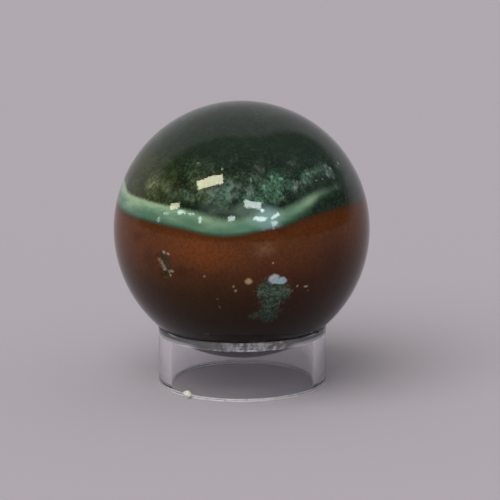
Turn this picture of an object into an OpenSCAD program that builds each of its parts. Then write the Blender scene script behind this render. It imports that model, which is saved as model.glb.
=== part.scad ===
// Polished stone ball resting in the conical seat of a clear ring stand.
// The origin is the centre of the ring's foot, +Z is up and the front faces -Y.

/* [Ball] */
// Diameter of the polished ball
ball_d = 60.5; // [50:0.5:80]

/* [Natural pit] */
// Length of the natural pit in the ball's polished face
pit_l = 6.2; // [4:0.1:9]
// Width of the pit at its middle
pit_w = 3.4; // [2:0.1:4]
// Depth of the pit at its middle, below the polished face
pit_depth = 0.6; // [0.3:0.1:1]
// Angle round the ball from the front to the pit
pit_turn = 37; // [0:1:90]
// Angle from the ball's equator down to the middle of the pit
pit_drop = 7; // [0:1:30]
// Lean of the pit's long axis from upright
pit_lean = 20; // [0:1:45]

/* [Ring stand] */
// Outside diameter of the ring
ring_d = 40; // [36:0.5:44]
// Height of the ring
ring_h = 14; // [12:0.5:25]
// Thickness of the ring's wall
wall = 3; // [2:0.1:4]
// Slope of the conical seat, from the horizontal
seat_slope = 40; // [30:1:50]
// Width of the flat rim left outside the seat
rim_land = 0.3; // [0.3:0.1:0.8]
// Width of the chamfer that breaks the ring's sharp edges
edge_break = 0.2; // [0.1:0.05:0.3]

/* [Hidden] */
$fn = 128;

ball_r = ball_d / 2;
ring_r = ring_d / 2;
bore_r = ring_r - wall;
rim_r = ring_r - rim_land;
seat_h = (rim_r - bore_r) * tan(seat_slope);

// The ball touches the seat where the cone is tangent to it, or else at the nearer edge of the cone.
contact_r = max(bore_r, min(rim_r, ball_r * sin(seat_slope)));
contact_z = ring_h - (rim_r - contact_r) * tan(seat_slope);
ball_z = contact_z + sqrt(pow(ball_r, 2) - pow(contact_r, 2));

// The pit is a row of overlapping round hollows, the middle one pit_w wide at the polished face.
PIT_HOLLOWS = 5;
END_SHARE = 0.65;
hollow_r = (pow(pit_w / 2, 2) + pow(pit_depth, 2)) / (2 * pit_depth);
half_row = (pit_l - END_SHARE * pit_w) / 2;

// Size of a hollow as a share of the middle one, for t from -1 to 1 along the row.
function hollow_share(t) = 1 - (1 - END_SHARE) * pow(t, 2);

// Angle that an arc of this length spans on the ball's surface.
function surface_angle(arc) = arc / ball_r * 180 / PI;

module pit() {
    rotate([0, 0, -pit_turn])
        rotate([pit_drop, 0, 0])
            rotate([0, -pit_lean, 0])
                for (t = [-1 : 2 / (PIT_HOLLOWS - 1) : 1]) {
                    share = hollow_share(t);
                    rotate([surface_angle(t * half_row), 0, 0])
                        translate([0, -(ball_r + share * (hollow_r - pit_depth)), 0])
                            sphere(share * hollow_r);
                }
}

module stone_ball() {
    color("#4a3a2a")
        translate([0, 0, ball_z])
            difference() {
                sphere(ball_r);
                pit();
            }
}

module ring_stand() {
    color([0.86, 0.85, 0.88, 0.4])
        rotate_extrude()
            polygon([
                [bore_r + edge_break, 0],
                [ring_r - edge_break, 0],
                [ring_r, edge_break],
                [ring_r, ring_h - edge_break],
                [ring_r - edge_break, ring_h],
                [rim_r, ring_h],
                [bore_r, ring_h - seat_h],
                [bore_r, edge_break]
            ]);
}

stone_ball();
ring_stand();
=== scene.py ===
"""Looks of a polished banded stone ball on a clear ring stand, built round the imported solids."""

import math

import bmesh
import bpy
from mathutils import Matrix, Vector, noise


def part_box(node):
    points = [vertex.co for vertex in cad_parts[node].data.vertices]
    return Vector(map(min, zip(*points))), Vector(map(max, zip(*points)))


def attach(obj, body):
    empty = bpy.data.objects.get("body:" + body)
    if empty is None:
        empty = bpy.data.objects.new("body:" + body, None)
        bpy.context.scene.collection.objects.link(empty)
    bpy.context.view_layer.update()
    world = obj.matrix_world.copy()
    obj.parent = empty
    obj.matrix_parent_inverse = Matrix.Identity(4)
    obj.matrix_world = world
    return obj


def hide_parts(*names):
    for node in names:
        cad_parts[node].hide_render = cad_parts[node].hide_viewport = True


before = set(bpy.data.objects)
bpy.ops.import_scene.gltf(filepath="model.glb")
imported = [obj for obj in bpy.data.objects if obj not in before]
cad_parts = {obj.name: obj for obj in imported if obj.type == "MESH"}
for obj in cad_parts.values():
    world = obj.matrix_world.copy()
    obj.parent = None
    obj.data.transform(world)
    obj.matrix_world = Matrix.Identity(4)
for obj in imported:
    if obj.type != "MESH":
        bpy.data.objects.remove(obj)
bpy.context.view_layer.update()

BODY = "root"
MM = 0.001

# ---- the frame's sizes, in metres
BALL_LOW, BALL_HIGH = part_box("stone_ball")
BALL_R = min(BALL_HIGH[axis] - BALL_LOW[axis] for axis in range(3)) / 2
BALL_CENTRE = Vector((0, 0, (BALL_LOW.z + BALL_HIGH.z) / 2))

PIT_LENGTH = 6.2 * MM
PIT_WIDTH = 3.4 * MM
PIT_DEPTH = 0.6 * MM
PIT_TURN = math.radians(37)
PIT_DROP = math.radians(7)
PIT_LEAN = math.radians(20)

RING_LOW, RING_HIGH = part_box("ring_stand")
RING_R = (RING_HIGH.y - RING_LOW.y) / 2
RING_H = RING_HIGH.z
RING_WALL = 3 * MM
RIM_LAND = 0.3 * MM
EDGE_BREAK = 0.2 * MM
SEAT_SLOPE = math.radians(40)

# ---- the photograph's camera
PHOTO_SIDE = 500
SENSOR = 36.0
CLIP_NEAR = 0.01
CLIP_FAR = 50
BALL_PIXEL = (241.85, 228.6)
BALL_PIXEL_R = 128.2
CAMERA_DISTANCE = 0.504
CAMERA_ELEVATION = math.radians(10.88)
CAMERA_ROLL = math.radians(0.26)
FOCAL_PIXELS = BALL_PIXEL_R / math.tan(math.asin(BALL_R / CAMERA_DISTANCE))
TOWARD_BALL = Vector((0, math.cos(CAMERA_ELEVATION), -math.sin(CAMERA_ELEVATION)))
CAMERA_PLACE = BALL_CENTRE - CAMERA_DISTANCE * TOWARD_BALL


def camera_axes():
    """The camera's right, up and forward directions; the ball's centre lands on BALL_PIXEL."""
    up = Vector((1, 0, 0)).cross(TOWARD_BALL)
    aside = (BALL_PIXEL[0] - PHOTO_SIDE / 2) / FOCAL_PIXELS
    above = (PHOTO_SIDE / 2 - BALL_PIXEL[1]) / FOCAL_PIXELS
    forward = (TOWARD_BALL - Vector((aside, 0, 0)) - up * above).normalized()
    right = forward.cross(Vector((0, 0, 1))).normalized()
    up = right.cross(forward)
    turn = Matrix.Rotation(CAMERA_ROLL, 3, forward)
    return turn @ right, turn @ up, forward


CAMERA_RIGHT, CAMERA_UP, CAMERA_FORWARD = camera_axes()


def add_camera():
    data = bpy.data.cameras.new("camera")
    data.sensor_width = SENSOR
    data.lens = FOCAL_PIXELS * SENSOR / PHOTO_SIDE
    data.clip_start = CLIP_NEAR
    data.clip_end = CLIP_FAR
    camera = bpy.data.objects.new("camera", data)
    axes = Matrix((CAMERA_RIGHT, CAMERA_UP, -CAMERA_FORWARD)).transposed()
    camera.matrix_world = Matrix.Translation(CAMERA_PLACE) @ axes.to_4x4()
    bpy.context.scene.collection.objects.link(camera)
    bpy.context.scene.camera = camera


def ball_point(pixel):
    """Where the ray through a pixel of the photograph meets the ball."""
    ray = (
        CAMERA_FORWARD
        + CAMERA_RIGHT * (pixel[0] - PHOTO_SIDE / 2) / FOCAL_PIXELS
        + CAMERA_UP * (PHOTO_SIDE / 2 - pixel[1]) / FOCAL_PIXELS
    ).normalized()
    start = CAMERA_PLACE - BALL_CENTRE
    along = start.dot(ray)
    inside = max(0.0, along**2 - start.length_squared + BALL_R**2)
    return BALL_CENTRE + (start + ray * (-along - math.sqrt(inside))).normalized() * BALL_R


def turn_and_height(pixel):
    """A ball point as the angle round the ball from the front and the height over its centre."""
    offset = ball_point(pixel) - BALL_CENTRE
    return math.degrees(math.atan2(offset.x, -offset.y)), offset.z


# ---- node trees
def srgb(red, green, blue):
    """A colour given as 8-bit sRGB, as the linear colour that a shader takes."""

    def linear(value):
        value /= 255
        return value / 12.92 if value <= 0.04045 else ((value + 0.055) / 1.055) ** 2.4

    return (linear(red), linear(green), linear(blue), 1.0)


def blend(first, second, share):
    """The colour that lies between two others."""
    return tuple(one + (two - one) * share for one, two in zip(first, second))


class Tree:
    """Adds nodes to a material or world. An input is a socket to link, or a number or colour to set."""

    def __init__(self, owner):
        owner.use_nodes = True
        self.nodes = owner.node_tree.nodes
        self.links = owner.node_tree.links
        self.nodes.clear()

    def node(self, kind, inputs=None, **settings):
        made = self.nodes.new("ShaderNode" + kind)
        for name, value in settings.items():
            setattr(made, name, value)
        for name, value in (inputs or {}).items():
            self.feed(made.inputs[name], value)
        return made

    def feed(self, socket, value):
        if isinstance(value, bpy.types.NodeSocket):
            self.links.new(value, socket)
        else:
            socket.default_value = value

    def maths(self, operation, first, second=0.0, third=0.0, clamp=False):
        inputs = {0: first, 1: second, 2: third}
        return self.node("Math", inputs, operation=operation, use_clamp=clamp).outputs[0]

    def plus(self, first, second):
        return self.maths("ADD", first, second)

    def minus(self, first, second):
        return self.maths("SUBTRACT", first, second)

    def times(self, first, second):
        return self.maths("MULTIPLY", first, second)

    def largest(self, first, *others):
        for other in others:
            first = self.maths("MAXIMUM", first, other)
        return first

    def vector(self, operation, first, second=(0, 0, 0)):
        made = self.node("VectorMath", {0: first}, operation=operation)
        self.feed(made.inputs["Scale" if operation == "SCALE" else 1], second)
        return made.outputs["Value" if operation == "LENGTH" else "Vector"]

    def parts(self, place):
        """The X, Y and Z of a place."""
        return self.node("SeparateXYZ", {0: place}).outputs

    def mapped(self, place, **changes):
        """The place with the Mapping node's Location, Rotation or Scale."""
        return self.node("Mapping", {"Vector": place, **changes}).outputs[0]

    def local(self, place, **axes):
        """The place as seen from a frame that has that Location, Rotation and Scale."""
        inputs = {"Vector": place, **axes}
        return self.node("Mapping", inputs, vector_type="TEXTURE").outputs[0]

    def ramp(self, value, start, end, low=0.0, high=1.0):
        """Goes smoothly from low to high as value goes from start to end."""
        inputs = {"Value": value, "From Min": start, "From Max": end, "To Min": low, "To Max": high}
        return self.node("MapRange", inputs, interpolation_type="SMOOTHSTEP").outputs["Result"]

    def mix(self, share, first, second):
        """The first colour where share is 0 and the second where it is 1."""
        made = self.node("Mix", data_type="RGBA")
        for index, value in ((0, share), (6, first), (7, second)):
            self.feed(made.inputs[index], value)
        return made.outputs[2]

    def overlay(self, share, strength, colour, tint):
        """The colour with the tint over it, as far as share times strength."""
        return self.mix(self.maths("MULTIPLY", share, strength, clamp=True), colour, tint)

    def noise(self, place, scale, detail, roughness=0.5):
        """Noise from 0 to 1, with scale counted in waves for each millimetre."""
        inputs = {"Vector": place, "Scale": scale, "Detail": detail, "Roughness": roughness}
        return self.node("TexNoise", inputs).outputs["Fac"]

    def curve(self, value, points):
        """A smooth curve through (input, output) points, both from 0 to 1."""
        made = self.node("FloatCurve", {"Value": value})
        line = made.mapping.curves[0]
        line.points[0].location = points[0]
        line.points[1].location = points[-1]
        for point in points[1:-1]:
            line.points.new(*point)
        made.mapping.update()
        return made.outputs["Value"]


def new_material(name):
    material = bpy.data.materials.new(name)
    tree = Tree(material)
    shader = tree.node("BsdfPrincipled")
    output = tree.node("OutputMaterial")
    tree.links.new(shader.outputs["BSDF"], output.inputs["Surface"])
    return material, tree, shader


def object_place(tree):
    """Position in millimetres from the frame's origin."""
    return tree.vector("SCALE", tree.node("TexCoord").outputs["Object"], 1 / MM)


# ---- the stone's pattern
# A stone material that holds too much renders black with no error, and how much it holds hangs on
# the order in which its nodes are made. So two materials share the pattern, and the lines of the
# stone's functions keep their order.

# Upper edge of the pale vein in the photograph, from the left outline to the right one.
VEIN_TOP_PIXELS = [
    (124.8, 181.5), (128.4, 192.5), (142, 199), (156.8, 203.4), (171.6, 206.6), (194.7, 212.4),
    (211, 217.2), (223, 219.8), (236.8, 219.6), (251.5, 215.8), (268.4, 212), (281, 210.8),
    (295.7, 204.6), (310.4, 196), (323.8, 191.4), (344.8, 186.9), (353.4, 183),
]
# Lower edge of the vein, which meets the upper edge near its tip on the right.
VEIN_LOW_PIXELS = [
    (118.9, 205.7), (123, 211), (142, 219.3), (163, 224.9), (184, 229.6), (205, 234.6),
    (216, 236), (226, 236.4), (237, 235.8), (248, 233.9), (268.4, 229.2), (285.2, 225.2),
    (299.9, 218.3), (308.3, 212.2), (315, 205.2), (322.5, 198), (333, 192.2), (353.4, 183.5),
]
# Upper edge of the brown stone, where a dark wedge parts it from the vein.
WEDGE_LOW_PIXELS = [
    (285.5, 226.5), (306.5, 218.2), (325.7, 212), (335, 208.9), (344.8, 205.6), (359, 200.6),
]
# The same three edges round the back, as (degrees from the front, millimetres over the centre).
VEIN_TOP_BACK = [
    (96, 12.9), (122, 12.2), (150, 10.6), (180, 10.4), (-150, 11.6), (-122, 12.9), (-100, 12.8),
]
VEIN_LOW_BACK = [
    (96, 12.6), (122, 10.2), (150, 7.4), (180, 5.8), (-150, 5.6), (-122, 6.8), (-100, 7.2),
]
BASE_TOP_BACK = [
    (96, 8.4), (122, 7), (150, 5.9), (180, 5.4), (-150, 5.6), (-122, 6.8), (-100, 7.2),
]

OLIVE_DARK = srgb(48, 55, 36)
DEEP_MOSS = srgb(21, 32, 22)
TEAL_DARK = srgb(31, 44, 39)
SEA_DARK = srgb(44, 58, 52)
TOP_DARK = srgb(35, 45, 36)
DEEP_GREEN = srgb(18, 28, 21)
MOSS_GREEN = srgb(46, 64, 48)
FIBRE_GREEN = srgb(96, 118, 92)
OLIVE_FIBRE = srgb(118, 128, 96)
EMERALD = srgb(98, 142, 114)
PALE_MOSS = srgb(134, 158, 144)
GREY_MOSS = srgb(96, 102, 90)
# Pale haze in the stone; round the lamps' mirror images the same tint is a painted glow.
HAZE_AND_GLOW = srgb(110, 132, 118)
DRIFT_GREEN = srgb(52, 74, 58)
WEDGE_GREEN = srgb(26, 36, 29)
SAGE = srgb(148, 172, 136)
VEIN_GREEN = srgb(116, 148, 120)
VEIN_TEAL = srgb(80, 114, 90)
JADE = srgb(86, 126, 104)
# Icy haze, partly a painted glow round the lamps' mirror images on the vein.
ICE_HAZE_AND_GLOW = srgb(134, 166, 166)
RUST = srgb(94, 51, 25)
LIT_ORANGE_BROWN = srgb(116, 60, 24)
RED_BROWN = srgb(50, 21, 9)
OLIVE_BROWN = srgb(56, 32, 11)
DARK_BROWN_AND_SHADE = srgb(16, 8, 4)
LINE_BROWN = srgb(54, 34, 20)
TAN = srgb(168, 140, 108)
SPECK_TAN = srgb(130, 108, 84)
SPECK_GREY = srgb(82, 70, 62)
DULL_TAN = srgb(122, 86, 62)
DIM_BROWN = srgb(84, 72, 50)
PIT_BROWN = srgb(52, 42, 28)
PIT_OLIVE = srgb(38, 30, 12)
CRYSTAL = srgb(148, 132, 112)
CHALK = srgb(178, 182, 192)
ICE = srgb(150, 182, 190)
CAP_SHADE = srgb(138, 140, 146)
PATCH_GREEN = srgb(41, 64, 51)
PATCH_SHADE = srgb(20, 42, 30)
FLECK = srgb(102, 120, 104)
GRAIN_PALE = srgb(112, 116, 106)
BLACK_GREEN = srgb(28, 48, 22)
OLIVE_CAST = (1.05, 1.0, 0.66)
BROWN_GLOSS = (1.0, 0.85, 0.72, 1.0)
WHITE = (1.0, 1.0, 1.0, 1.0)

# Moss that stands out, by the colour of its fibres: centre pixel, size in millimetres, lean, share.
PLUMES = [
    (DIM_BROWN, [(178, 188, 2.6, 3.4, 0, 0.35), (216, 174, 7, 2.4, 10, 0.3)]),
    (GREY_MOSS, [
        (212, 191, 5, 2, 10, 0.9), (160, 176, 6, 4, 0, 0.4),
        (258, 168.5, 3, 3.8, 0, 0.6), (336, 164, 3, 3.6, 20, 0.6),
        (292, 163, 2.2, 1.6, 0, 0.6), (289.5, 174, 1.8, 1.2, 0, 0.8),
    ]),
    (OLIVE_FIBRE, [
        (152.5, 184.5, 4.4, 3.8, 20, 1), (165, 187, 4.4, 3, -20, 0.8),
        (196, 181, 4, 5, 0, 0.4), (203, 192, 5, 2.6, 0, 0.4),
        (152, 195, 4.4, 2.6, 0, 0.7),
    ]),
    (FIBRE_GREEN, [
        (184.2, 194, 2.4, 3, 20, 1), (190.6, 197, 2.8, 3.4, -15, 1),
        (173, 196, 4, 2.4, 0, 0.5), (256, 180, 6, 3, 0, 0.5),
        (205, 197, 6, 4, 0, 0.7),
        (236, 180, 7, 4, 0, 0.4), (200, 167, 9, 5, 20, 0.35),
    ]),
    (HAZE_AND_GLOW, [
        (217, 195, 4.4, 4.6, 0, 1), (229, 191, 6.4, 5.2, 0, 0.9),
        (308, 182, 3.4, 2.2, 10, 0.6), (324, 168, 3.6, 4, 30, 0.7),
        (337, 187, 3, 2, 10, 0.6),
    ]),
    (EMERALD, [
        (276.7, 181.7, 4.4, 5, -10, 1), (265, 190, 2.6, 3.8, 15, 1),
        (274.5, 193.5, 5, 4.2, 20, 0.9), (290.5, 185.5, 3, 3, 25, 0.7),
        (305.5, 176, 3.2, 2.2, 35, 0.8), (317.5, 171.5, 3.8, 2.4, 10, 0.6),
        (245.5, 197, 3.2, 2.4, 0, 0.6), (224, 196, 3.4, 4.4, 0, 0.4),
        (260, 198.5, 5, 2.6, 0, 0.9),
    ]),
    (PALE_MOSS, [
        (250, 191.5, 2.6, 3.2, 0, 0.7), (295.4, 187, 1.8, 2.8, -10, 1),
        (301.5, 182.5, 3, 1.8, 35, 0.45), (310, 173, 3.4, 2.2, 25, 0.6),
        (329.5, 171.5, 2.6, 3.4, 0, 0.6),
    ]),
]
# Clouds in the vein, given in the same way.
VEIN_CLOUDS = [
    (VEIN_TEAL, [(190, 222, 9, 3, -10, 0.8)]),
    (SAGE, [(206, 219, 4, 2.4, -10, 0.5), (311, 199, 6, 3, 32, 0.7)]),
    (JADE, [(243, 227, 7, 3.4, 0, 0.9), (290, 213, 5, 3, 30, 0.6)]),
    (VEIN_GREEN, [(226, 221, 4, 2, -5, 0.8)]),
]
# Haze over the vein and the moss above it, partly a painted glow round the lamps' mirror images
# there, given in the same way.
VEIN_HAZE_AND_GLOW = [
    (HAZE_AND_GLOW, [(246.5, 210.5, 9.5, 3.8, 5, 0.5), (218, 209, 11, 4.4, -5, 0.2)]),
    (ICE_HAZE_AND_GLOW, [(268, 218.5, 7.6, 6.8, 5, 0.8), (257, 221, 6, 3, 0, 0.4)]),
]
# Clouds in the brown stone, given in the same way.
BROWN_CLOUDS = [
    (DULL_TAN, [(265, 250, 6, 4, 0, 0.75)]),
    (RED_BROWN, [
        (138, 236, 5, 3, 20, 0.5), (150, 258, 5, 7, 0, 0.4),
        (182, 272, 6, 3, 10, 0.5), (335, 262, 9, 16, 0, 0.5),
    ]),
]
# Pale specks: centre pixel, width and height in millimetres, colour.
MOSS_SPECKS = [
    (222.2, 169, 0.6, 0.5, HAZE_AND_GLOW), (213.8, 172, 0.6, 0.4, GREY_MOSS),
    (251, 179.6, 0.4, 1.2, HAZE_AND_GLOW), (198.4, 163, 0.7, 0.6, GREY_MOSS),
    (186.6, 164, 0.8, 0.5, MOSS_GREEN), (235.8, 154.4, 0.6, 0.5, MOSS_GREEN),
    (236.4, 157.5, 0.6, 0.4, MOSS_GREEN), (251.9, 149.8, 0.8, 0.6, MOSS_GREEN),
    (294.8, 187.4, 0.9, 1.1, HAZE_AND_GLOW), (297.2, 182, 0.6, 1, GREY_MOSS),
    (271.8, 177, 0.9, 0.9, EMERALD), (280.5, 178.8, 1.2, 0.8, EMERALD),
    (264, 186.6, 0.7, 1.2, HAZE_AND_GLOW), (307.7, 173.8, 1, 0.7, EMERALD),
    (327.3, 174.5, 0.8, 1, HAZE_AND_GLOW), (330, 168.4, 0.9, 0.8, HAZE_AND_GLOW),
    (338.2, 163.5, 0.8, 0.9, HAZE_AND_GLOW), (322.2, 178.9, 0.6, 0.5, GREY_MOSS),
    (316.5, 180.4, 0.8, 0.5, FIBRE_GREEN), (283.2, 197.4, 0.5, 0.7, GREY_MOSS),
]
BROWN_SPECKS = [
    (204.4, 276.4, 0.6, 0.6, SPECK_TAN), (233.3, 286.6, 0.6, 0.6, SPECK_TAN),
    (235.7, 290.7, 0.7, 0.8, SPECK_TAN), (217.4, 299, 0.7, 0.5, SPECK_GREY),
    (219.7, 307, 0.5, 0.9, SPECK_GREY), (273.3, 262.9, 0.45, 0.45, TAN),
    (297.4, 286, 0.6, 0.7, CRYSTAL), (305.8, 286.3, 1.2, 0.6, CRYSTAL),
    (307.9, 290.3, 0.6, 0.6, SPECK_GREY), (291.9, 291.3, 0.7, 0.8, SPECK_GREY),
    (248.9, 281.4, 1.7, 1.55, TAN),
]
# Crystals round the pit: centre pixel, width and height in millimetres, lean.
CRYSTALS = [
    (163.9, 252.1, 0.9, 1, 20), (168.2, 253.8, 1, 0.7, 0), (158.4, 260.2, 1.1, 1.5, 40),
    (160.8, 263.4, 1.3, 1.7, 25), (162.6, 267, 1.3, 1.6, 15), (163.8, 269.6, 1.6, 1.2, 0),
    (168.4, 271.9, 1.1, 0.8, 0), (171.9, 271.1, 1.1, 0.7, 0), (170.4, 275.2, 0.7, 0.7, 0),
]
# The mossy patch on the lower half and the pale cap over it, given in the same way.
MOSSY_PATCH = [
    (272.8, 290, 8.4, 6.6, 5), (271.5, 302, 6.2, 7.2, 0), (268.5, 314, 6, 5.4, 0),
    (254.5, 315.5, 3.2, 2, 15), (286.5, 293.5, 2.8, 4, -20), (260, 293, 2, 3.4, 0),
]
CAP = [
    (274.2, 278.8, 2.7, 2.3, 15), (282.4, 280.2, 2.2, 1.8, -10),
    (277.8, 281.3, 4, 1.3, -6),
]
# Single ovals, given in the same way: the icy part of the cap and the dark notch under it, the pit
# and the shade below it, the shade along the vein and the orange middle of the brown stone, which
# is partly a painted pool of light.
ICY_CAP = (279.5, 280.5, 2.6, 2, -10)
PATCH_NOTCH = (274.1, 285.8, 1.6, 1.1, 0)
PIT_FILL = (165.5, 262.5, 3.1, 5.8, 20)
PIT_SHADE = (165, 274, 4.4, 3.6, 0)
MOSS_SHADE = (193, 205.5, 9, 2.6, -14)
BROWN_ORANGE_AND_LIGHT = (202, 253, 19, 9, -8)

# How an oval's mask fades: the shares of the oval's half-size at which it starts and ends to do so.
PLUME_EDGE = (0.1, 1.35)
VEIN_CLOUD_EDGE = (0.1, 1.25)
HAZE_AND_GLOW_EDGE = (0.2, 1.2)
SHADE_EDGE = (0.3, 1.3)
BROWN_EDGE = (0.0, 1.3)
LACE_EDGE = (0.0, 1.45)
NOTCH_EDGE = (0.4, 1.3)
CAP_EDGE = (0.65, 1.2)
PIT_EDGE = (0.5, 1.25)
CRYSTAL_EDGE = (0.3, 1.3)
SPECK_EDGE = (0.4, 1.35)

# Noises: waves for each millimetre, detail and roughness.
CLOUD_NOISE = (0.16, 4.0)
MOSS_GRAIN = (1.7, 3.0, 0.6)
MOSS_MOTTLE = (0.55, 3.0, 0.55)
DRIFT_NOISE = (0.11, 2.0)
FIBRE_NOISE = (1.0, 3.0, 0.6)
VEIN_STREAKS = (0.6, 4.0, 0.55)
WEDGE_GRAIN = (1.2, 4.0, 0.65)
BROWN_FLOW = (0.25, 5.0, 0.6)
BROWN_GRAIN = (1.5, 4.0, 0.7)
LACE_NOISE = (1.4, 4.0, 0.7)
ISLAND_NOISE = (0.1, 1.0)
PATCH_GRAINS = (1.9, 2.0)
CAP_MOTTLE = (1.3, 3.0)
EDGE_FUZZ = (2.2, 4.0, 0.6)
POLISH_RIPPLE = (0.45, 3.0, 0.6)

# Shifts that make outlines ragged: waves for each millimetre, reach in millimetres and seed.
SHIFT_DETAIL = 4.0
MOTTLE_SHIFT = (0.6, 0.8, 13)
PLUME_SHIFT = (0.8, 1.3, 3)
STREAK_SHIFT = (0.5, 0.6, 5)
HAZE_AND_GLOW_SHIFT = (0.9, 0.8, 23)
FLOW_SHIFT = (0.2, 1.5, 7)
BROWN_SHIFT = (0.25, 1.6, 9)
LACE_SHIFT = (1.1, 0.9, 17)
CHIP_SHIFT = (2.6, 0.35, 29)
GENTLE_SHIFT = (1.4, 0.25, 19)

# Feathery streaks: degrees from upright, seed, then thickness and length in millimetres.
MOSS_FIBRES = [(-35, 21, 0.8, 2.6), (30, 34, 0.8, 2.6)]
LACE_FIBRES = [(35, 41, 0.7, 1.5), (-50, 52, 0.7, 1.5)]
FIBRE_WANDER = (0.6, 0.7)
FIBRE_LEVELS = (0.47, 0.68)


def edge_curve(tree, turn, pixels, back):
    """Height in millimetres of a layer's edge over the ball's centre, for turn from 0 to 1 round it."""
    seen = [turn_and_height(pixel) for pixel in pixels]
    hidden = [(degrees, height * MM) for degrees, height in back]
    points = [(degrees / 360 + 0.5, height / (2 * BALL_R) + 0.5) for degrees, height in seen + hidden]
    points = sorted((share % 1.0, height) for share, height in points)
    # The back's point at 180 degrees sorts first, at 0, and closes the curve again at 1.
    back_height = points[0][1]
    points = [(0.0, back_height), *points[1:], (1.0, back_height)]
    return tree.maths("MULTIPLY_ADD", tree.curve(turn, points), 2 * BALL_R / MM, -BALL_R / MM)


def ball_place(tree):
    """Position in millimetres from the ball's centre."""
    position = tree.node("TexCoord").outputs["Object"]
    return tree.vector("SCALE", tree.vector("SUBTRACT", position, BALL_CENTRE), 1 / MM)


def patch(tree, place, edge, column, row, width, height, lean=0.0, share=1.0):
    """The share inside an oval on the ball: its middle pixel, size in millimetres and lean."""
    middle = ball_point((column, row)) - BALL_CENTRE
    outward = middle.normalized()
    across = Vector((0, 0, 1)).cross(outward).normalized()
    axes = Matrix((across, outward.cross(across), outward)).transposed()
    axes = axes @ Matrix.Rotation(math.radians(lean), 3, "Z")
    half_size = (width / 2, height / 2, max(width, height) / 2)
    local = tree.local(place, Location=middle / MM, Rotation=axes.to_euler(), Scale=half_size)
    return tree.ramp(tree.vector("LENGTH", local), edge[1], edge[0], 0.0, share)


def joined_patches(tree, place, edge, ovals):
    """The largest share that any of the ovals gives."""
    return tree.largest(*[patch(tree, place, edge, *oval) for oval in ovals])


def clouded(tree, place, edge, clouds, strength, colour):
    """The colour with each cloud's tint over it, inside that cloud's ovals."""
    for tint, ovals in clouds:
        colour = tree.overlay(joined_patches(tree, place, edge, ovals), strength, colour, tint)
    return colour


def shifted(tree, place, scale, reach, seed):
    """The place moved about by noise, so that outlines cut from it are ragged."""
    spread = tree.mapped(place, Location=(seed, seed, seed))
    inputs = {"Vector": spread, "Scale": scale, "Detail": SHIFT_DETAIL}
    wander = tree.node("TexNoise", inputs).outputs["Color"]
    step = tree.vector("SCALE", tree.vector("SUBTRACT", wander, (0.5, 0.5, 0.5)), 2 * reach)
    return tree.vector("ADD", place, step)


def fibres(tree, place, kinds):
    """Feathery streaks in the stone, of each of the kinds, from 0 to 1."""
    streaks = []
    for lean, seed, thickness, length in kinds:
        local = tree.local(
            shifted(tree, place, *FIBRE_WANDER, seed),
            Location=(seed, seed, seed),
            Rotation=(0, math.radians(lean), 0),
            Scale=(thickness, thickness, length),
        )
        streaks.append(tree.ramp(tree.noise(local, *FIBRE_NOISE), *FIBRE_LEVELS))
    return tree.largest(*streaks)


# ---- the mossy green stone
# Where the ground's tone changes across the ball, in millimetres from its middle.
OLIVE_TO_MOSS = (-18.5, -12.5)
MOSS_TO_TEAL = (-4.0, 12.0)
TEAL_TO_SEA = (14.0, 21.0)
OLIVE_CAST_SPAN = (-5.0, -11.0)
# Two heights over the ball's centre, and how strongly the dim moss shows there.
DIM_MOSS_SHARES = (16.0, 4.0, 0.12, 0.4)
# Heights between which the top of the ball turns plain and dark.
TOP_HEIGHTS = (16.0, 23.0)
# Depths behind the ball's middle between which drifts of moss begin, on the unseen side.
DRIFT_DEPTHS = (-14.0, 0.0)
# Heights over the vein between which the shade along it ends.
SHADE_HEIGHTS = (2.6, 0.8)
# Levels of the noises between which each form shows.
CLOUD_LEVELS = (0.38, 0.62)
CLUSTER_LEVELS = (0.45, 0.7)
GRAIN_LEVELS = (0.5, 0.8)
BODY_LEVELS = (0.2, 0.75)
DRIFT_LEVELS = (0.5, 0.66)
DRIFT_TINT_LEVELS = (0.4, 0.6)
# How far a plume's body is darkened from the tint of its fibres.
BODY_DARKNESS = 0.35


def moss_ground(tree, parts, clouds, grain, mottle, strands):
    """Dark green stone with dim moss in it, olive on the left and bluer towards the right."""
    clusters = tree.ramp(mottle, *CLUSTER_LEVELS)
    colour = tree.mix(tree.ramp(parts["X"], *OLIVE_TO_MOSS), OLIVE_DARK, DEEP_MOSS)
    colour = tree.mix(tree.ramp(parts["X"], *MOSS_TO_TEAL), colour, TEAL_DARK)
    colour = tree.mix(tree.ramp(parts["X"], *TEAL_TO_SEA), colour, SEA_DARK)
    colour = tree.overlay(tree.ramp(clouds, *CLOUD_LEVELS), 0.5, colour, DEEP_GREEN)
    colour = tree.overlay(clusters, 0.45, colour, MOSS_GREEN)
    colour = tree.overlay(tree.ramp(grain, *GRAIN_LEVELS), 0.35, colour, FIBRE_GREEN)
    dim = tree.ramp(parts["Z"], *DIM_MOSS_SHARES)
    colour = tree.overlay(tree.times(strands, clusters), dim, colour, FIBRE_GREEN)
    olive = tree.vector("MULTIPLY", colour, OLIVE_CAST)
    return tree.mix(tree.ramp(parts["X"], *OLIVE_CAST_SPAN), colour, olive)


def add_plumes(tree, ragged, bodies, strands, plumes, colour):
    """The brighter moss that the photograph shows: dim bodies with bright fibres in them."""
    for tint, ovals in plumes:
        inside = joined_patches(tree, ragged, PLUME_EDGE, ovals)
        body_tint = blend(tint, DEEP_GREEN, BODY_DARKNESS)
        colour = tree.overlay(tree.times(inside, bodies), 0.7, colour, body_tint)
        colour = tree.overlay(tree.times(inside, strands), 0.9, colour, tint)
    return colour


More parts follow.
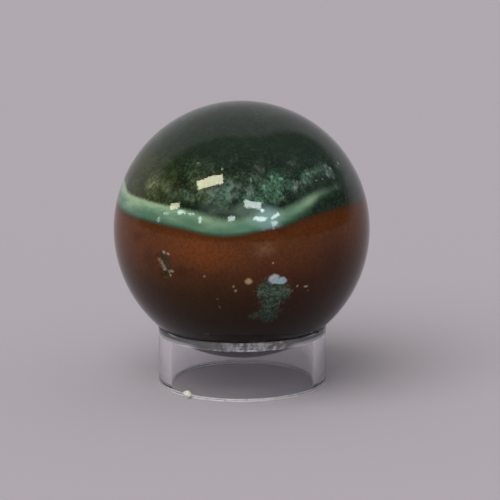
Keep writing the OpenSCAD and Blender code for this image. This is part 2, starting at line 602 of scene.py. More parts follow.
def add_drifts(tree, ragged, depth, bodies, strands, mottle, colour):
    """Drifts of the same moss on the side that the photograph doesn't show."""
    drifts = tree.ramp(tree.noise(ragged, *DRIFT_NOISE), *DRIFT_LEVELS)
    drifts = tree.times(drifts, tree.ramp(depth, *DRIFT_DEPTHS))
    tint = tree.mix(tree.ramp(mottle, *DRIFT_TINT_LEVELS), EMERALD, PALE_MOSS)
    colour = tree.overlay(tree.times(drifts, bodies), 0.6, colour, DRIFT_GREEN)
    return tree.overlay(tree.times(drifts, strands), 0.9, colour, tint)


def moss_colour(tree, place, over_vein, plumes):
    """Dark green stone full of feathery moss; over_vein is the height over the vein's upper edge."""
    parts = tree.parts(place)
    clouds = tree.noise(place, *CLOUD_NOISE)
    grain = tree.noise(place, *MOSS_GRAIN)
    mottle = tree.noise(shifted(tree, place, *MOTTLE_SHIFT), *MOSS_MOTTLE)
    strands = fibres(tree, place, MOSS_FIBRES)
    colour = moss_ground(tree, parts, clouds, grain, mottle, strands)
    ragged = shifted(tree, place, *PLUME_SHIFT)
    bodies = tree.ramp(grain, *BODY_LEVELS)
    colour = add_plumes(tree, ragged, bodies, strands, plumes, colour)
    colour = add_drifts(tree, ragged, parts["Y"], bodies, strands, mottle, colour)
    colour = tree.overlay(tree.ramp(parts["Z"], *TOP_HEIGHTS), 0.7, colour, TOP_DARK)
    shade = patch(tree, ragged, SHADE_EDGE, *MOSS_SHADE)
    shade = tree.times(shade, tree.ramp(over_vein, *SHADE_HEIGHTS))
    return tree.overlay(shade, 0.7, colour, DEEP_GREEN)


# ---- the pale vein
STREAK_STRETCH = (0.3, 0.3, 1.0)
STREAK_REACH = 1.3
GREEN_LEVELS = (0.1, 0.75)
SAGE_LEVELS = (0.5, 0.95)
SAGE_SPAN = (-12.0, -19.0)


def vein_colour(tree, place, across):
    """Pale green chalcedony with streaks along it; across is 0 at its lower edge, 1 at its upper."""
    parts = tree.parts(place)
    stretched = tree.mapped(place, Scale=STREAK_STRETCH)
    streaks = tree.noise(shifted(tree, stretched, *STREAK_SHIFT), *VEIN_STREAKS)
    level = tree.maths("MULTIPLY_ADD", streaks, STREAK_REACH, tree.minus(across, STREAK_REACH / 2))
    colour = tree.mix(tree.ramp(level, *GREEN_LEVELS), VEIN_TEAL, VEIN_GREEN)
    to_left = tree.ramp(parts["X"], *SAGE_SPAN)
    sage = tree.times(tree.ramp(level, *SAGE_LEVELS), to_left)
    colour = tree.overlay(sage, 1.0, colour, SAGE)
    return clouded(tree, place, VEIN_CLOUD_EDGE, VEIN_CLOUDS, 1.0, colour)


# ---- the brown stone
# How far the flow of the stone shifts its bands up and down, and the heights where their tone
# changes, in millimetres over the ball's centre. Their darkening towards the bottom is partly the
# stone's own and partly painted shade.
FLOW_REACH = 7.0
RUST_AND_SHADE_FADES = (1.0, -11.0)
DARK_AND_SHADE_FADES = (-6.0, -24.0)
RED_ON_RIGHT = (8.0, 26.0)
RED_SHARES = (6.0, -6.0, 0.0, 0.6)
OLIVE_TO_RED = (-6.0, 12.0)
FLOW_LEVELS = (0.5, 0.75)
BROWN_GRAIN_LEVELS = (0.35, 0.75)
# Depths under the green stone between which a dull line along it ends.
LINE_DEPTHS = (2.0, 0.3)


def brown_colour(tree, place, depth, clouds):
    """Rust-brown stone, darker downward, partly as painted shade; depth is how far below the green."""
    parts = tree.parts(place)
    flow = tree.noise(shifted(tree, place, *FLOW_SHIFT), *BROWN_FLOW)
    grain = tree.noise(place, *BROWN_GRAIN)
    level = tree.maths("MULTIPLY_ADD", flow, FLOW_REACH, tree.minus(parts["Z"], FLOW_REACH / 2))
    lower = tree.mix(tree.ramp(parts["X"], *OLIVE_TO_RED), OLIVE_BROWN, RED_BROWN)
    # The bands darken downward, partly as painted shade.
    colour = tree.mix(tree.ramp(level, *RUST_AND_SHADE_FADES), RUST, lower)
    on_right = tree.ramp(parts["X"], *RED_ON_RIGHT)
    colour = tree.overlay(on_right, tree.ramp(level, *RED_SHARES), colour, RED_BROWN)
    colour = tree.overlay(tree.ramp(flow, *FLOW_LEVELS), 0.3, colour, RED_BROWN)
    wandering = shifted(tree, place, *BROWN_SHIFT)
    # The orange middle is partly the stone's own and partly a painted pool of light.
    orange_and_light = patch(tree, wandering, BROWN_EDGE, *BROWN_ORANGE_AND_LIGHT)
    colour = tree.overlay(orange_and_light, 0.75, colour, LIT_ORANGE_BROWN)
    colour = clouded(tree, wandering, BROWN_EDGE, clouds, 1.0, colour)
    colour = tree.overlay(tree.ramp(grain, *BROWN_GRAIN_LEVELS), 0.4, colour, DARK_BROWN_AND_SHADE)
    colour = tree.overlay(tree.ramp(depth, *LINE_DEPTHS), 0.35, colour, LINE_BROWN)
    # Partly painted shade: the stone turns near black towards the bottom.
    return tree.mix(tree.ramp(level, *DARK_AND_SHADE_FADES), colour, DARK_BROWN_AND_SHADE)


# Islands of moss in the brown stone on the unseen side: levels of their noise, and the depths
# behind the ball's middle and heights over it between which they begin.
ISLAND_LEVELS = (0.62, 0.72)
ISLAND_DEPTHS = (-6.0, 2.0)
ISLAND_HEIGHTS = (2.0, -3.0)
# The lace of the mossy patch, and its tone by the height over the ball's centre in millimetres.
LACE_FILL = 0.8
LACE_LEVELS = (0.62, 1.12)
PATCH_HEIGHTS = (-9.0, -13.0)
FLECK_SHARES = (-16.0, -8.0, 0.28, 0.65)
PATCH_GRAIN_LEVELS = (0.58, 0.74)
PATCH_GRAIN_BODY = (0.0, 0.35)
PATCH_GRAIN_SHARES = (-18.0, -10.0, 0.3, 0.6)
CAP_SHADING = (0.4, 0.75, 0.0, 0.6)


def back_islands(tree, ragged, depth, height):
    """Where small mossy islands lie on the side that the photograph doesn't show."""
    islands = tree.ramp(tree.noise(ragged, *ISLAND_NOISE), *ISLAND_LEVELS)
    islands = tree.times(islands, tree.ramp(depth, *ISLAND_DEPTHS))
    return tree.times(islands, tree.ramp(height, *ISLAND_HEIGHTS))


def mossy_patch(tree, place, height, colour):
    """Lacy green moss in the brown stone, thinner at its edges and darker towards its foot."""
    lace = tree.noise(place, *LACE_NOISE)
    ragged = shifted(tree, place, *LACE_SHIFT)
    body = joined_patches(tree, ragged, LACE_EDGE, MOSSY_PATCH)
    body = tree.largest(body, back_islands(tree, ragged, tree.parts(place)["Y"], height))
    present = tree.ramp(tree.maths("MULTIPLY_ADD", body, LACE_FILL, lace), *LACE_LEVELS)
    green = tree.mix(tree.ramp(height, *PATCH_HEIGHTS), PATCH_GREEN, PATCH_SHADE)
    colour = tree.overlay(present, 0.9, colour, green)
    strands = fibres(tree, place, LACE_FIBRES)
    bright = tree.ramp(height, *FLECK_SHARES)
    colour = tree.overlay(tree.times(present, strands), bright, colour, FLECK)
    grains = tree.ramp(tree.noise(place, *PATCH_GRAINS), *PATCH_GRAIN_LEVELS)
    grains = tree.times(grains, tree.ramp(body, *PATCH_GRAIN_BODY))
    colour = tree.overlay(grains, tree.ramp(height, *PATCH_GRAIN_SHARES), colour, GRAIN_PALE)
    return tree.overlay(patch(tree, place, NOTCH_EDGE, *PATCH_NOTCH), 0.8, colour, BLACK_GREEN)


def add_cap(tree, place, gentle, colour):
    """The pale, mottled cap over the mossy patch, icy on its right."""
    icy = patch(tree, gentle, SHADE_EDGE, *ICY_CAP)
    cap = joined_patches(tree, gentle, CAP_EDGE, CAP)
    mottled = tree.ramp(tree.noise(place, *CAP_MOTTLE), *CAP_SHADING)
    return tree.mix(cap, colour, tree.mix(mottled, tree.mix(icy, CHALK, ICE), CAP_SHADE))


def add_pit_colours(tree, place, gentle, colour):
    """The shade under the pit, the pit's own brown and the pale crystals round it."""
    colour = tree.overlay(patch(tree, gentle, BROWN_EDGE, *PIT_SHADE), 0.6, colour, PIT_OLIVE)
    colour = tree.overlay(patch(tree, gentle, PIT_EDGE, *PIT_FILL), 0.9, colour, PIT_BROWN)
    chipped = shifted(tree, place, *CHIP_SHIFT)
    crystals = joined_patches(tree, chipped, CRYSTAL_EDGE, CRYSTALS)
    return tree.overlay(crystals, 0.9, colour, CRYSTAL)


def add_specks(tree, place, specks, colour):
    gentle = shifted(tree, place, *GENTLE_SHIFT)
    for *oval, tint in specks:
        colour = tree.mix(patch(tree, gentle, SPECK_EDGE, *oval), colour, tint)
    return colour


# ---- the stone's layers together
# Between which places across the ball each layer's edge gets softer, and how far it fades there.
VEIN_TOP_FADE = (-14.0, -8.0, 0.5, 1.1)
VEIN_LOW_FADE = (4.0, 13.0, 1.1, 2.2)
BASE_TOP_FADE = (8.0, 16.0, 0.35, 0.7)
# How ragged each edge is, in millimetres, and how much the vein's lower fade is kept above its edge.
VEIN_TOP_RAGGED = 1.2
VEIN_LOW_RAGGED = 0.6
VEIN_LOW_LIFT = 0.6
BASE_TOP_RAGGED = 0.8
# The vein shows where it is at least about so thick, in millimetres.
VEIN_THICKNESS = (0.1, 1.1)
LEAST_THICKNESS = 0.05
# The wedge's edge starts so many pixels after the last point that it shares with the vein's.
WEDGE_GAP = 5
WEDGE_LEVELS = (0.4, 0.75)


def layer_edges(tree, turn):
    """Heights all round the ball of the vein's upper and lower edges and the brown stone's upper one."""
    shared = [pixel for pixel in VEIN_LOW_PIXELS if pixel[0] < WEDGE_LOW_PIXELS[0][0] - WEDGE_GAP]
    return (
        edge_curve(tree, turn, VEIN_TOP_PIXELS, VEIN_TOP_BACK),
        edge_curve(tree, turn, VEIN_LOW_PIXELS, VEIN_LOW_BACK),
        edge_curve(tree, turn, shared + WEDGE_LOW_PIXELS, BASE_TOP_BACK),
    )


def stone_colour(tree, place, upper):
    """The stone's colour, and a share that is 1 in the green stone and 0 in the brown."""
    parts = tree.parts(place)
    angle = tree.maths("ARCTAN2", parts["X"], tree.times(parts["Y"], -1.0))
    turn = tree.maths("MULTIPLY_ADD", angle, 1 / (2 * math.pi), 0.5)
    fuzz = tree.minus(tree.noise(place, *EDGE_FUZZ), 0.5)
    vein_top, vein_low, base_top = layer_edges(tree, turn)

    def above(edge, softness, raggedness, lift=0.0):
        over = tree.maths("MULTIPLY_ADD", fuzz, raggedness, tree.minus(parts["Z"], edge))
        return tree.ramp(over, tree.times(softness, lift - 1.0), softness)

    thickness = tree.largest(tree.minus(vein_top, vein_low), LEAST_THICKNESS)
    across = tree.maths("DIVIDE", tree.minus(parts["Z"], vein_low), thickness)
    over_vein = tree.minus(parts["Z"], vein_top)
    depth = tree.minus(base_top, parts["Z"])
    brown = brown_colour(tree, place, depth, [] if upper else BROWN_CLOUDS)
    green = above(base_top, tree.ramp(parts["X"], *BASE_TOP_FADE), BASE_TOP_RAGGED)
    wedge_grain = tree.ramp(tree.noise(place, *WEDGE_GRAIN), *WEDGE_LEVELS)
    colour = tree.mix(green, brown, tree.mix(wedge_grain, WEDGE_GREEN, MOSS_GREEN))
    lower_fade = tree.ramp(parts["X"], *VEIN_LOW_FADE)
    vein = above(vein_low, lower_fade, VEIN_LOW_RAGGED, VEIN_LOW_LIFT)
    vein = tree.times(vein, tree.ramp(thickness, *VEIN_THICKNESS))
    colour = tree.mix(vein, colour, vein_colour(tree, place, across))
    upper_fade = tree.ramp(parts["X"], *VEIN_TOP_FADE)
    moss = moss_colour(tree, place, over_vein, PLUMES if upper else [])
    colour = tree.mix(above(vein_top, upper_fade, VEIN_TOP_RAGGED), colour, moss)
    # Haze over the vein, partly a painted glow round the lamps' mirror images.
    hazy_and_glowing = shifted(tree, place, *HAZE_AND_GLOW_SHIFT)
    colour = clouded(tree, hazy_and_glowing, HAZE_AND_GLOW_EDGE, VEIN_HAZE_AND_GLOW, green, colour)
    if upper:
        return add_specks(tree, place, MOSS_SPECKS, colour), green
    colour = mossy_patch(tree, place, parts["Z"], colour)
    gentle = shifted(tree, place, *GENTLE_SHIFT)
    colour = add_cap(tree, place, gentle, colour)
    colour = add_pit_colours(tree, place, gentle, colour)
    return add_specks(tree, place, BROWN_SPECKS, colour), green


# The brown stone takes a softer polish than the green: its gloss, and how much the green's is more.
BROWN_SPECULAR = 0.3
MORE_ON_GREEN = 0.2
RIPPLE_HEIGHT = 0.02 * MM
STONE_ROUGHNESS = 0.05
STONE_IOR = 1.43


def stone_material(name, upper):
    """The stone's looks. The upper part of the ball has the plumes, the lower one the inclusions."""
    material, tree, shader = new_material(name)
    place = ball_place(tree)
    colour, green = stone_colour(tree, place, upper)
    specular = tree.maths("MULTIPLY_ADD", green, MORE_ON_GREEN, BROWN_SPECULAR)
    gloss = tree.mix(green, BROWN_GLOSS, WHITE)
    ripple = tree.noise(place, *POLISH_RIPPLE)
    polish = tree.node("Bump", {"Height": ripple, "Distance": RIPPLE_HEIGHT, "Strength": 1.0})
    tree.feed(shader.inputs["Base Color"], colour)
    tree.feed(shader.inputs["Specular IOR Level"], specular)
    tree.feed(shader.inputs["Specular Tint"], gloss)
    tree.feed(shader.inputs["Normal"], polish.outputs["Normal"])
    tree.feed(shader.inputs["Roughness"], STONE_ROUGHNESS)
    tree.feed(shader.inputs["IOR"], STONE_IOR)
    return material


# ---- the ball's mesh
PIT_ZONE = 4.2 * MM
FINE_STEP = 0.11 * MM
COARSE_STEP = 0.52 * MM
STEP_GROWTH = 1.06
BALL_SECTORS = 240
# The pit's outline wanders so far, in waves of that length, and its floor is rough with crystals.
OUTLINE_WANDER = 0.35 * MM
OUTLINE_WAVE = 1.3 * MM
OUTLINE_SEED = Vector((7, 7, 7))
END_POWER = 2.4
LEAST_HALF_WIDTH = 0.01 * MM
PIT_STEEPNESS = 1.4
CRYSTAL_WAVE = 0.35 * MM
CRYSTAL_LEVEL = 0.75
CRYSTAL_SWING = 0.35
# Height over the ball's centre at which the upper stone's material gives way to the lower one's.
PATTERN_JOIN = 6.0 * MM


def pit_axes():
    """Directions across the pit, along it and outward, at the pit's middle."""
    turn = (
        Matrix.Rotation(-PIT_TURN, 3, "Z")
        @ Matrix.Rotation(PIT_DROP, 3, "X")
        @ Matrix.Rotation(-PIT_LEAN, 3, "Y")
    )
    return turn @ Vector((1, 0, 0)), turn @ Vector((0, 0, 1)), turn @ Vector((0, -1, 0))


def ring_angles():
    """Angles of the mesh's rings from the pit's middle: close together in the pit, wider beyond it."""
    angles = []
    step = FINE_STEP
    arc = step
    while arc < math.pi * BALL_R - COARSE_STEP / 2:
        angles.append(arc / BALL_R)
        if arc > PIT_ZONE:
            step = min(step * STEP_GROWTH, COARSE_STEP)
        arc += step
    return angles


def pit_depth(across, along):
    """Depth of the natural pit at a place in its own plane."""
    ragged = Vector((across, along, 0)) / OUTLINE_WAVE
    across += OUTLINE_WANDER * noise.noise(ragged)
    along += OUTLINE_WANDER * noise.noise(ragged + OUTLINE_SEED)
    end = abs(along) / (PIT_LENGTH / 2)
    if end >= 1:
        return 0.0
    half_width = PIT_WIDTH / 2 * (1 - end**END_POWER) ** 0.5
    side = abs(across) / max(half_width, LEAST_HALF_WIDTH)
    if side >= 1:
        return 0.0
    hollow = (1 - side**2) * (1 - end**4)
    crystals = CRYSTAL_LEVEL + CRYSTAL_SWING * noise.noise(Vector((across, along, 0)) / CRYSTAL_WAVE)
    return PIT_DEPTH * min(1.0, hollow * PIT_STEEPNESS) * crystals


def ball_ring(mesh, axes, angle):
    """One ring of the ball's points, at that angle from the pit's middle."""
    across, along, outward = axes
    arc = BALL_R * angle
    ring = []
    for sector in range(BALL_SECTORS):
        bearing = 2 * math.pi * sector / BALL_SECTORS
        sideways = across * math.cos(bearing) + along * math.sin(bearing)
        direction = outward * math.cos(angle) + sideways * math.sin(angle)
        sunk = 0.0
        if arc < PIT_ZONE:
            sunk = pit_depth(arc * math.cos(bearing), arc * math.sin(bearing))
        ring.append(mesh.verts.new(BALL_CENTRE + direction * (BALL_R - sunk)))
    return ring


def ball_mesh():
    """A ball as rings round the pit's middle, so that its grid is finest in the pit."""
    axes = pit_axes()
    outward = axes[2]
    mesh = bmesh.new()
    rings = [ball_ring(mesh, axes, angle) for angle in ring_angles()]
    near_pole = mesh.verts.new(BALL_CENTRE + outward * (BALL_R - pit_depth(0, 0)))
    far_pole = mesh.verts.new(BALL_CENTRE - outward * BALL_R)
    for sector in range(BALL_SECTORS):
        after = (sector + 1) % BALL_SECTORS
        mesh.faces.new((near_pole, rings[0][sector], rings[0][after]))
        mesh.faces.new((far_pole, rings[-1][after], rings[-1][sector]))
        for inner, outer in zip(rings, rings[1:]):
            mesh.faces.new((inner[sector], outer[sector], outer[after], inner[after]))
    bmesh.ops.recalc_face_normals(mesh, faces=mesh.faces)
    return mesh


def plain_object(name, mesh):
    """Turns a bmesh into an object in the scene."""
    data = bpy.data.meshes.new(name)
    mesh.to_mesh(data)
    mesh.free()
    made = bpy.data.objects.new(name, data)
    bpy.context.scene.collection.objects.link(made)
    return made


def add_piece(name, mesh, materials):
    """Turns a bmesh into a smooth-shaded piece that rides on the part's body."""
    piece = plain_object(name, mesh)
    piece.data.shade_smooth()
    for material in materials:
        piece.data.materials.append(material)
    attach(piece, BODY)
    return piece


def add_ball():
    mesh = ball_mesh()
    for face in mesh.faces:
        face.material_index = 0 if face.calc_center_median().z > BALL_CENTRE.z + PATTERN_JOIN else 1
    finishes = [stone_material("stone_upper", True), stone_material("stone_lower", False)]
    ball = add_piece("stone_ball_polished", mesh, finishes)
    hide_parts("stone_ball")


# ---- the ring stand
RING_STEPS = 288
SATIN_STRIP = 0.22 * MM
BORE_STRIP = 0.12 * MM
SHARP_FROM = math.radians(20)
ACRYLIC = (0.95, 0.94, 0.97, 1)
ACRYLIC_IOR = 1.49
POLISHED_ROUGHNESS = 0.01
SATIN_ROUGHNESS = 0.3
SATIN_CLEARNESS = 0.15
SMEAR_NOISE = (0.35, 4.0)
SMEAR_LEVELS = (0.2, 0.8)
SMEAR_SHARES = (0.8, 1.2)

# The seat: turning marks and painted highlights, laid out round the ring in millimetres.
MARK_STRETCH = (0.2, 1.0, 4.0)
MARK_NOISE = (1.0, 3.0, 0.7)
MARK_ROUGHNESS = (0.3, 0.7, 0.1, 0.3)
BLOT_NOISE = (0.5, 4.0, 0.65)
MARKS_IN_PAINTED_GLINTS = 0.5
PAINTED_GLINT_LEVELS = (0.62, 0.86)
# The painted highlights peak just right of the front: at that turn, with a fade from it, in radians.
PAINTED_GLINT_TURN = 0.15
PAINTED_GLINT_SHARES = (0.6, 0.1, 0.12, 1.0)
# Towards the sides a painted reflection shows low on the seat, between those heights in millimetres.
PAINTED_CRESCENT_TURNS = (0.5, 0.85)
PAINTED_CRESCENT_HEIGHTS = (12.9, 12.2)
SEAT_CLEARNESS = (0.8, 0.05)


def acrylic_material(name, roughness, clearness):
    """Cast acrylic; the machined faces are matt and scatter some of the light."""
    material, tree, shader = new_material(name)
    smears = tree.noise(object_place(tree), *SMEAR_NOISE)
    low, high = [roughness * share for share in SMEAR_SHARES]
    tree.feed(shader.inputs["Base Color"], ACRYLIC)
    tree.feed(shader.inputs["Roughness"], tree.ramp(smears, *SMEAR_LEVELS, low, high))
    tree.feed(shader.inputs["IOR"], ACRYLIC_IOR)
    tree.feed(shader.inputs["Transmission Weight"], clearness)
    return material


def seat_painted_glints(tree, angle, height, lines, blots):
    """Painted highlights on the seat, and painted reflections low on it at the sides, from 0 to 1."""
    painted_glints = tree.ramp(tree.maths("MULTIPLY_ADD", lines, MARKS_IN_PAINTED_GLINTS, blots), *PAINTED_GLINT_LEVELS)
    from_glint_turn = tree.maths("ABSOLUTE", tree.minus(angle, PAINTED_GLINT_TURN))
    painted_glints = tree.times(painted_glints, tree.ramp(from_glint_turn, *PAINTED_GLINT_SHARES))
    aside = tree.ramp(tree.maths("ABSOLUTE", angle), *PAINTED_CRESCENT_TURNS)
    return tree.largest(painted_glints, tree.times(aside, tree.ramp(height, *PAINTED_CRESCENT_HEIGHTS)))


def seat_material():
    """The seat's turned face: half clear, with fine turning marks and pale painted highlights."""
    material, tree, shader = new_material("seat_acrylic")
    parts = tree.parts(object_place(tree))
    angle = tree.maths("ARCTAN2", parts["X"], tree.times(parts["Y"], -1.0))
    round_ring = {"X": tree.times(angle, RING_R / MM), "Z": parts["Z"]}
    flat = tree.node("CombineXYZ", round_ring).outputs[0]
    lines = tree.noise(tree.mapped(flat, Scale=MARK_STRETCH), *MARK_NOISE)
    painted_glints = seat_painted_glints(tree, angle, parts["Z"], lines, tree.noise(flat, *BLOT_NOISE))
    tree.feed(shader.inputs["Base Color"], ACRYLIC)
    tree.feed(shader.inputs["Roughness"], tree.ramp(lines, *MARK_ROUGHNESS))
    tree.feed(shader.inputs["IOR"], ACRYLIC_IOR)
    # The seat turns milky and pale where the highlights are painted.
    clearness = tree.ramp(painted_glints, 0.0, 1.0, *SEAT_CLEARNESS)
    tree.feed(shader.inputs["Transmission Weight"], clearness)
    return material


def ring_profile():
    """The ring's section as (radius, height) points, each with the material of the face after it."""
    bore = RING_R - RING_WALL
    rim = RING_R - RIM_LAND
    seat_foot = RING_H - (rim - bore) * math.tan(SEAT_SLOPE)
    polished, satin, turned = 0, 1, 2
    return [
        (bore + EDGE_BREAK, 0, satin),
        (RING_R - EDGE_BREAK, 0, satin),
        (RING_R, EDGE_BREAK, satin),
        (RING_R, EDGE_BREAK + SATIN_STRIP, polished),
        (RING_R, RING_H - EDGE_BREAK, polished),
        (RING_R - EDGE_BREAK, RING_H, polished),
        (rim, RING_H, turned),
        (bore, seat_foot, turned),
        (bore, seat_foot - SATIN_STRIP, polished),
        (bore, EDGE_BREAK + BORE_STRIP, satin),
        (bore, EDGE_BREAK, satin),
    ]


def ring_mesh():
    mesh = bmesh.new()
    profile = ring_profile()
    loops = []
    for step in range(RING_STEPS):
        angle = 2 * math.pi * step / RING_STEPS
        sideways = Vector((math.cos(angle), math.sin(angle), 0))
        loops.append([mesh.verts.new(sideways * radius + Vector((0, 0, z))) for radius, z, _ in profile])
    for step, loop in enumerate(loops):
        following = loops[(step + 1) % RING_STEPS]
        for corner, (_, _, finish) in enumerate(profile):
            beyond = (corner + 1) % len(profile)
            face = mesh.faces.new((loop[corner], following[corner], following[beyond], loop[beyond]))
            face.material_index = finish
    bmesh.ops.recalc_face_normals(mesh, faces=mesh.faces)
    return mesh


def add_ring():
    finishes = [
        acrylic_material("clear_acrylic", POLISHED_ROUGHNESS, 1.0),
        acrylic_material("satin_acrylic", SATIN_ROUGHNESS, SATIN_CLEARNESS),
        seat_material(),
    ]
    ring = add_piece("ring_stand_clear", ring_mesh(), finishes)
    ring.data.set_sharp_from_angle(angle=SHARP_FROM)
    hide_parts("ring_stand")


# ---- the cream lump
LUMP_BEARING = math.radians(38.9)
LUMP_SIZE = Vector((2.4, 1.4, 1.9)) * MM
# How much of its depth the lump stands clear of the ring's wall, and how lumpy and tapered it is.
LUMP_PROUD = 0.25
LUMP_BUMPS = 0.35
LUMP_BUMP_SCALE = 3.1
LUMP_TAPER = 0.25
LUMP_ROUGHNESS = 0.7
LUMP_GRAIN = (1.6, 4.0)
LUMP_LEVELS = (0.35, 0.6)
CREAM = srgb(224, 222, 210)
CREAM_SHADE = srgb(186, 183, 166)


def lump_material():
    material, tree, shader = new_material("cream_lump")
    grain = tree.ramp(tree.noise(object_place(tree), *LUMP_GRAIN), *LUMP_LEVELS)
    tree.feed(shader.inputs["Base Color"], tree.mix(grain, CREAM_SHADE, CREAM))
    tree.feed(shader.inputs["Roughness"], LUMP_ROUGHNESS)
    return material


def add_foot_lump():
    """A cream lump that clings to the ring's foot, on the left of its front."""
    sideways = Vector((-math.sin(LUMP_BEARING), -math.cos(LUMP_BEARING), 0))
    middle = sideways * (RING_R + LUMP_PROUD * LUMP_SIZE.y) + Vector((0, 0, LUMP_SIZE.z / 2))
    mesh = bmesh.new()
    bmesh.ops.create_icosphere(mesh, subdivisions=4, radius=0.5)
    for corner in mesh.verts:
        upper = max(0.0, corner.co.z)
        lump = 1 + LUMP_BUMPS * noise.noise(corner.co * LUMP_BUMP_SCALE) - LUMP_TAPER * upper
        corner.co.x *= 1 - upper
        offset = Vector(side * width for side, width in zip(corner.co * lump, LUMP_SIZE))
        offset.rotate(Matrix.Rotation(-LUMP_BEARING, 3, "Z"))
        corner.co = middle + offset
        corner.co.z = max(0.0, corner.co.z)
    add_piece("foot_lump", mesh, [lump_material()])


# ---- the studio
BACKDROP = srgb(178, 172, 179)
FLOOR_PALE = srgb(172, 165, 171)
FLOOR_HALF_SIDE = 4.0
DIM_STUDIO = (0.05, 0.05, 0.05, 1)
AMBIENT_SHARE = 0.55
AMBIENT = (AMBIENT_SHARE, AMBIENT_SHARE, AMBIENT_SHARE, 1)
SUN_SHARE = 0.5
SUN_DIRECTION = Vector((-0.35, -0.5, 0.79)).normalized()
SUN_SPREAD = math.radians(60)
LIGHT_DISTANCE = 0.8
CREAM_LIGHT = (1.0, 1.0, 0.7)
COOL_LIGHT = (0.86, 1.0, 0.97)
# The ball mirrors a pale wall behind it, in directions whose Y is over an edge that rises aside and
# overhead. Each row holds two places across, and the edge's steepness or fade there.
WALL_EDGE_ASIDE = 0.2
WALL_EDGE_OVERHEAD = (0.2, 0.7, 0.12, 0.9)
WALL_FADES = (0.1, 0.6, 0.12, 0.4)
WALL_FADE_START = -0.04
# Mirror images of lamps on the ball: centre, size in pixels, radiance, tint and lean in degrees.
GLINTS = [
    ((210.1, 181.5), (27.0, 9.0), 19.0, CREAM_LIGHT, 14.5),
    ((174.9, 205.8), (9.0, 5.0), 15.0, CREAM_LIGHT, 12),
    ((252.8, 204.6), (17.0, 6.4), 17.0, COOL_LIGHT, -8),
    ((262.2, 210.2), (3.6, 3.6), 20.0, COOL_LIGHT, 0),
    ((260.0, 218.8), (11.6, 4.2), 17.0, COOL_LIGHT, -3),
    ((275.0, 216.0), (10.0, 3.2), 17.0, COOL_LIGHT, 32),
    ((274.5, 223.2), (6.6, 4.2), 12.0, COOL_LIGHT, 15),
    ((273.0, 227.8), (2.0, 2.0), 12.0, COOL_LIGHT, 0),
    ((165.8, 213.2), (5.6, 2.4), 6.0, COOL_LIGHT, 5),
    ((181.4, 212.0), (8.0, 3.2), 14.0, COOL_LIGHT, 5),
    ((191.6, 213.4), (6.0, 2.6), 9.0, COOL_LIGHT, -12),
    ((199.9, 219.8), (3.0, 7.2), 12.0, COOL_LIGHT, 0),
    ((158.6, 219.0), (1.8, 4.4), 6.0, COOL_LIGHT, -38),
    ((231.4, 218.8), (6.6, 4.0), 14.0, COOL_LIGHT, 5),
]


def mirror_hit(pixel):
    """The place, at the lamps' distance, that the ball mirrors at a pixel of the photograph."""
    point = ball_point(pixel)
    normal = (point - BALL_CENTRE).normalized()
    to_camera = (CAMERA_PLACE - point).normalized()
    return point + (2 * normal.dot(to_camera) * normal - to_camera) * LIGHT_DISTANCE


def add_glint(name, pixel, size, radiance, tint, lean):
    """A lamp whose mirror image on the ball has that centre and size in pixels, and that lean."""
    middle = mirror_hit(pixel)
    slope = math.radians(lean)
    across = mirror_hit((pixel[0] + math.cos(slope), pixel[1] - math.sin(slope))) - middle
    upward = mirror_hit((pixel[0] - math.sin(slope), pixel[1] - math.cos(slope))) - middle
    data = bpy.data.lights.new(name, "AREA")
    data.shape = "RECTANGLE"
    data.size = size[0] * across.length
    data.size_y = size[1] * upward.length
    data.energy = radiance * math.pi * data.size * data.size_y
    data.color = tint
    lamp = bpy.data.objects.new(name, data)
    facing = (middle - ball_point(pixel)).normalized()
    side = (across - facing * across.dot(facing)).normalized()
    axes = Matrix((side, facing.cross(side), facing)).transposed()
    lamp.matrix_world = Matrix.Translation(middle) @ axes.to_4x4()
    lamp.visible_camera = False
    lamp.visible_diffuse = False
    bpy.context.scene.collection.objects.link(lamp)


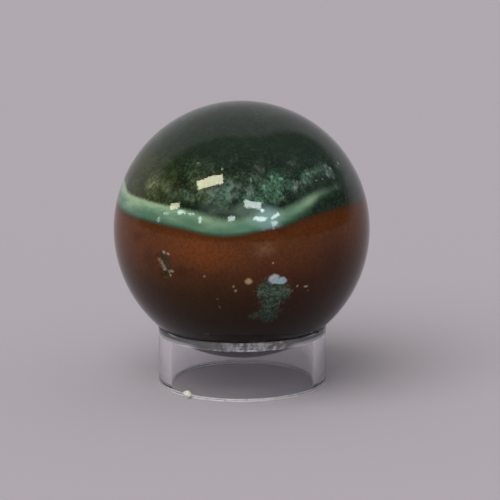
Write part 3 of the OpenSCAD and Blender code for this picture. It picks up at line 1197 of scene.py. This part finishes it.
def add_soft_sun():
    """Even, soft light from the upper left front, which leaves no mirror image of its own."""
    data = bpy.data.lights.new("soft_sun", "SUN")
    data.energy = SUN_SHARE * math.pi / SUN_DIRECTION.z
    data.angle = SUN_SPREAD
    lamp = bpy.data.objects.new("soft_sun", data)
    lamp.rotation_euler = SUN_DIRECTION.to_track_quat("Z", "Y").to_euler()
    lamp.visible_glossy = False
    bpy.context.scene.collection.objects.link(lamp)


def add_lights():
    for number, glint in enumerate(GLINTS, 1):
        add_glint(f"glint_{number}", *glint)
    add_soft_sun()


def mirrored_room(tree):
    """What the ball mirrors: a pale wall behind it and a dim room in front."""
    direction = tree.parts(tree.node("TexCoord").outputs["Generated"])
    aside = tree.times(tree.maths("ABSOLUTE", direction["X"]), WALL_EDGE_ASIDE)
    lower_on_right = tree.ramp(direction["X"], *WALL_EDGE_OVERHEAD)
    overhead = tree.times(direction["Z"], lower_on_right)
    inside = tree.minus(direction["Y"], tree.plus(aside, overhead))
    fade = tree.ramp(direction["X"], *WALL_FADES)
    return tree.mix(tree.ramp(inside, WALL_FADE_START, fade), DIM_STUDIO, BACKDROP)


def add_world():
    """A pale backdrop for what is seen directly or through the ring, and a plain even light."""
    world = bpy.data.worlds.new("studio")
    bpy.context.scene.world = world
    tree = Tree(world)
    mirrored = mirrored_room(tree)
    rays = tree.node("LightPath").outputs
    light = tree.mix(rays["Is Glossy Ray"], AMBIENT, mirrored)
    seen = tree.maths("ADD", rays["Is Camera Ray"], rays["Is Transmission Ray"], clamp=True)
    background = {"Color": tree.mix(seen, light, BACKDROP), "Strength": 1.0}
    background = tree.node("Background", background)
    output = tree.node("OutputWorld")
    tree.links.new(background.outputs["Background"], output.inputs["Surface"])


def add_floor():
    mesh = bmesh.new()
    bmesh.ops.create_grid(mesh, x_segments=1, y_segments=1, size=FLOOR_HALF_SIDE)
    floor = plain_object("floor", mesh)
    material, tree, shader = new_material("floor")
    tree.feed(shader.inputs["Base Color"], FLOOR_PALE)
    tree.feed(shader.inputs["Roughness"], 1.0)
    tree.feed(shader.inputs["Specular IOR Level"], 0.0)
    floor.data.materials.append(material)


add_camera()
add_world()
add_floor()
add_lights()
add_ball()
add_ring()
add_foot_lump()
bpy.context.scene.view_settings.view_transform = "Standard"
